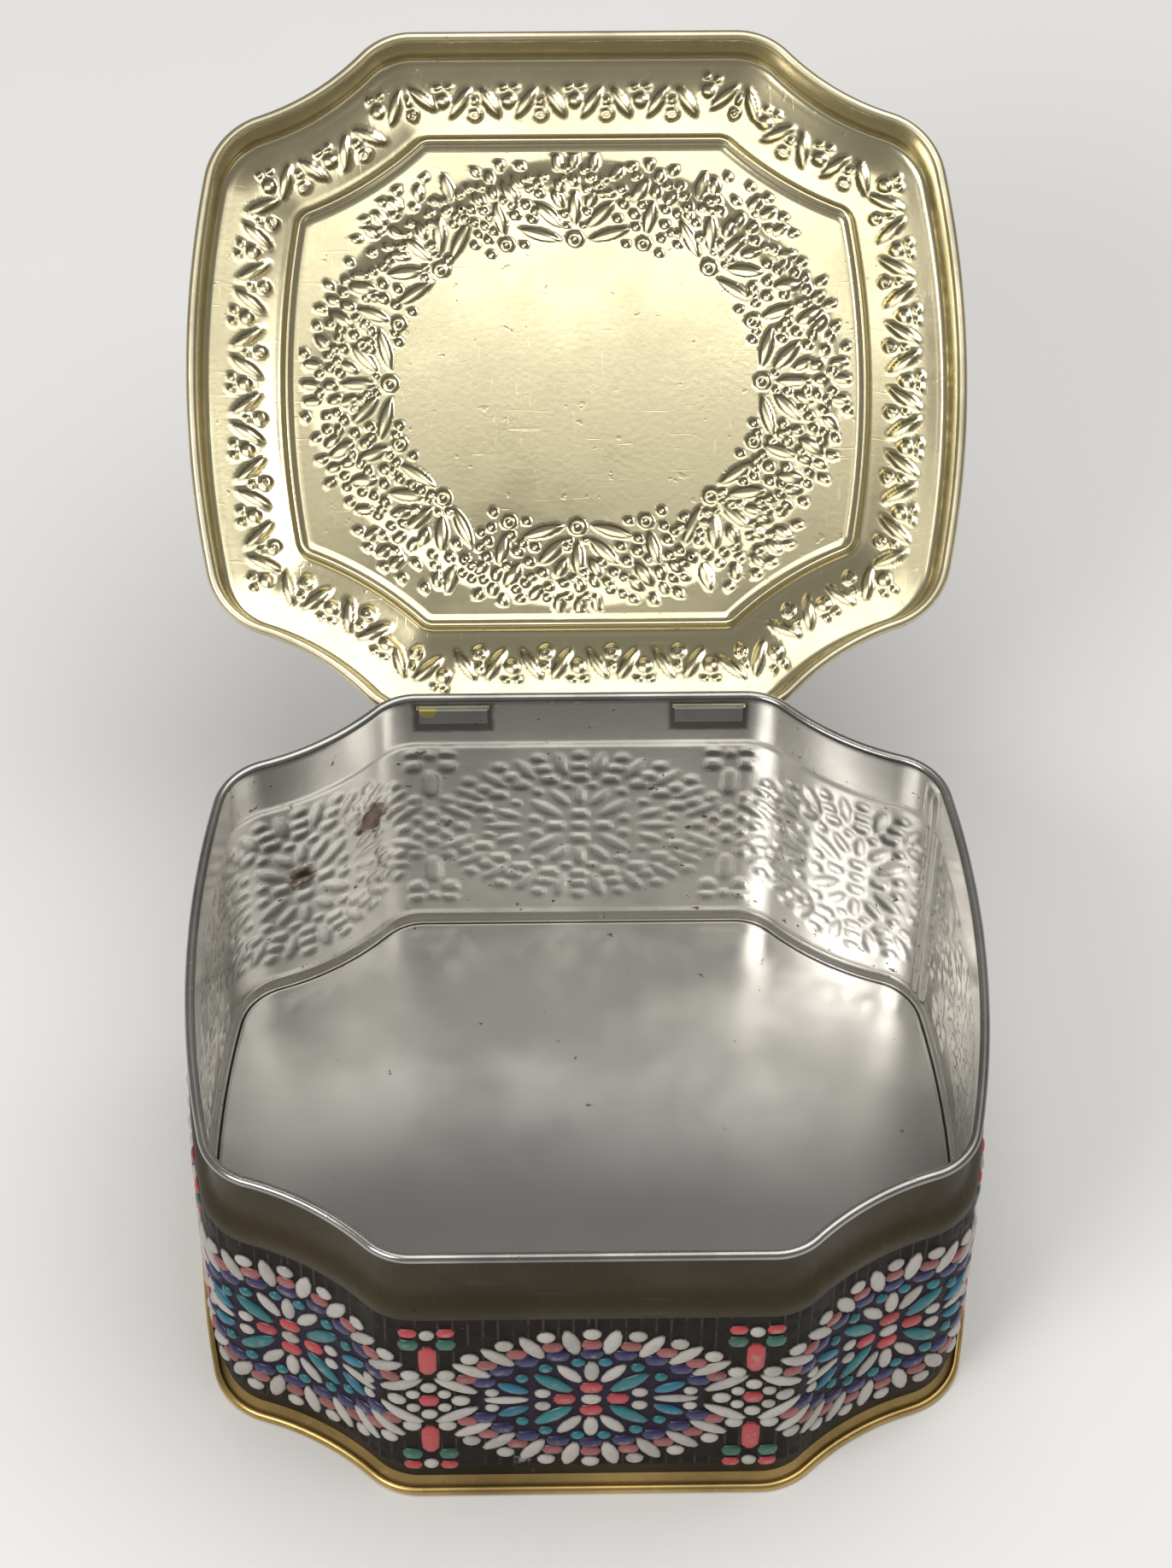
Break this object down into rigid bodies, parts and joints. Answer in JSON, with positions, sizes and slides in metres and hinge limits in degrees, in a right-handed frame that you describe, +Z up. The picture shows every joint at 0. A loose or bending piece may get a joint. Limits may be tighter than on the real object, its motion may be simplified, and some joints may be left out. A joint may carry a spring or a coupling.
{
  "type": "storage tin",
  "caption": "Storage tin with a waisted body, a seamed base and a lid that opens on a wire hinge at the back.",
  "frame": {"origin": "centre of the face the tin rests on, the underside of the base's bead", "axes": "+Z up, -Y toward the front, hinge at +Y, +X to the right seen from the front; the lid is open at rest"},
  "size_m": [0.15, 0.2416, 0.1493],
  "materials": {
    "body_tinplate": "printed outside, bare tinplate inside, worn",
    "base_tinplate": "gold lacquer outside, bare tinplate inside, worn",
    "lid_tinplate": "printed outside, pale gold lacquer inside",
    "hinge_steel": "dull",
    "strap_tinplate": "gold lacquer, worn"
  },
  "bodies": {
    "tin_body": {"body_wall": "body_tinplate", "base_plate": "base_tinplate", "hinge_strap_left": "strap_tinplate", "hinge_strap_right": "strap_tinplate"},
    "tin_lid": {"lid": "lid_tinplate", "hinge_wire": "hinge_steel"}
  },
  "joints": [
    {"name": "lid_hinge", "type": "hinge", "parent": "tin_body", "child": "tin_lid", "pos_m": [0, 0.065, 0.071], "axis": [1, 0, 0], "range_deg": [0, 143.5]}
  ]
}
